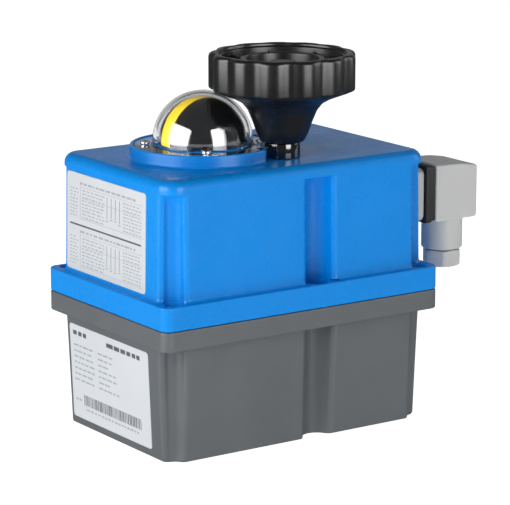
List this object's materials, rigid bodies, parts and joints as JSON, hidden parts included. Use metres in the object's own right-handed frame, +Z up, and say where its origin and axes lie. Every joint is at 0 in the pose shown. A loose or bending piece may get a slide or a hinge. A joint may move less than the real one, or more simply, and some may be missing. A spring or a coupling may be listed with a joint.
{
  "type": "motorized valve actuator",
  "caption": "Compact electric quarter-turn valve actuator: two-part flanged plastic casing, top handwheel, clear dome over a position indicator, side plug connector.",
  "frame": {"origin": "centre of the casing's plan on the flat underside that sits on the valve", "axes": "+Z up along the output shaft, +X along the casing's long side towards the plug connector, +Y across it, away from the handwheel"},
  "size_m": [0.2058, 0.1198, 0.1977],
  "materials": {
    "base_grey_plastic": "satin grey moulded plastic",
    "cover_blue_plastic": "semi-gloss bright blue moulded plastic",
    "black_rubber": "matt black rubber",
    "stainless_steel": "turned and brushed stainless steel",
    "label_white": "satin white film label",
    "clear_dome": "clear polished window",
    "black_plastic": "satin black moulded plastic",
    "indicator_yellow": "satin yellow plastic",
    "brass": "machined brass",
    "aluminium": "plain sheet and extruded aluminium",
    "white_nylon": "natural nylon",
    "board_green": "coated green circuit board",
    "capacitor_sleeve": "blue shrink sleeve",
    "terminal_green": "green terminal plastic",
    "plug_grey_plastic": "satin light grey moulded plastic"
  },
  "bodies": {
    "housing": {"base_housing": "base_grey_plastic", "cover": "cover_blue_plastic", "housing_seal": "black_rubber", "cover_screw_1": "stainless_steel", "cover_screw_2": "stainless_steel", "cover_screw_3": "stainless_steel", "cover_screw_4": "stainless_steel", "cover_screw_5": "stainless_steel", "cover_screw_6": "stainless_steel", "label_upper": "label_white", "label_lower": "label_white", "dome_window": "clear_dome", "dome_seal": "black_rubber", "dome_screw_1": "stainless_steel", "dome_screw_2": "stainless_steel", "dome_screw_3": "stainless_steel", "dome_screw_4": "stainless_steel", "handwheel_bush": "black_plastic", "output_bush": "brass", "gear_plate": "stainless_steel", "plate_pillar_1": "stainless_steel", "plate_pillar_2": "stainless_steel", "plate_pillar_3": "stainless_steel", "plate_pillar_4": "stainless_steel", "idler_axle": "stainless_steel", "board_post_1": "brass", "board_post_2": "brass", "board_post_3": "brass", "board_post_4": "brass", "motor": "stainless_steel", "circuit_board": "board_green", "capacitor": "capacitor_sleeve", "transformer": "black_plastic", "terminal_block": "terminal_green", "switch_bracket": "aluminium", "limit_switch_1": "black_plastic", "limit_switch_2": "black_plastic", "heater": "aluminium", "plug_socket": "plug_grey_plastic", "plug_gasket": "black_rubber", "plug_housing": "plug_grey_plastic", "gland_nut": "plug_grey_plastic", "gland_seal": "black_rubber", "plug_screw": "stainless_steel"},
    "output": {"output_shaft": "stainless_steel", "output_gear": "stainless_steel", "switch_cam_1": "white_nylon", "switch_cam_2": "white_nylon", "indicator_ball": "black_plastic", "indicator_band": "indicator_yellow"},
    "handwheel": {"handwheel": "black_plastic", "handwheel_cap": "black_plastic", "handwheel_shaft": "stainless_steel", "handwheel_pinion": "stainless_steel"},
    "idler": {"idler_gear": "brass"},
    "motor_rotor": {"motor_pinion": "stainless_steel"}
  },
  "joints": [
    {"name": "output_turn", "type": "hinge", "parent": "housing", "child": "output", "pos_m": [-0.025, 0, 0], "axis": [0, 0, 1], "range_deg": [0, 90]},
    {"name": "idler_turn", "type": "hinge", "parent": "housing", "child": "idler", "pos_m": [0.0155, -0.0005, 0], "axis": [0, 0, 1], "range_deg": [-257.2, 0]},
    {"name": "handwheel_turn", "type": "hinge", "parent": "housing", "child": "handwheel", "pos_m": [0.0065, -0.02595, 0], "axis": [0, 0, 1], "range_deg": [0, 735]},
    {"name": "motor_turn", "type": "hinge", "parent": "housing", "child": "motor_rotor", "pos_m": [0.0425, -0.0005, 0], "axis": [0, 0, 1], "range_deg": [0, 735]}
  ],
  "couplings": [
    {"joint": "idler_turn", "follows": "output_turn", "ratio": -2.8571},
    {"joint": "handwheel_turn", "follows": "output_turn", "ratio": 8.1633},
    {"joint": "motor_turn", "follows": "output_turn", "ratio": 8.1633}
  ]
}
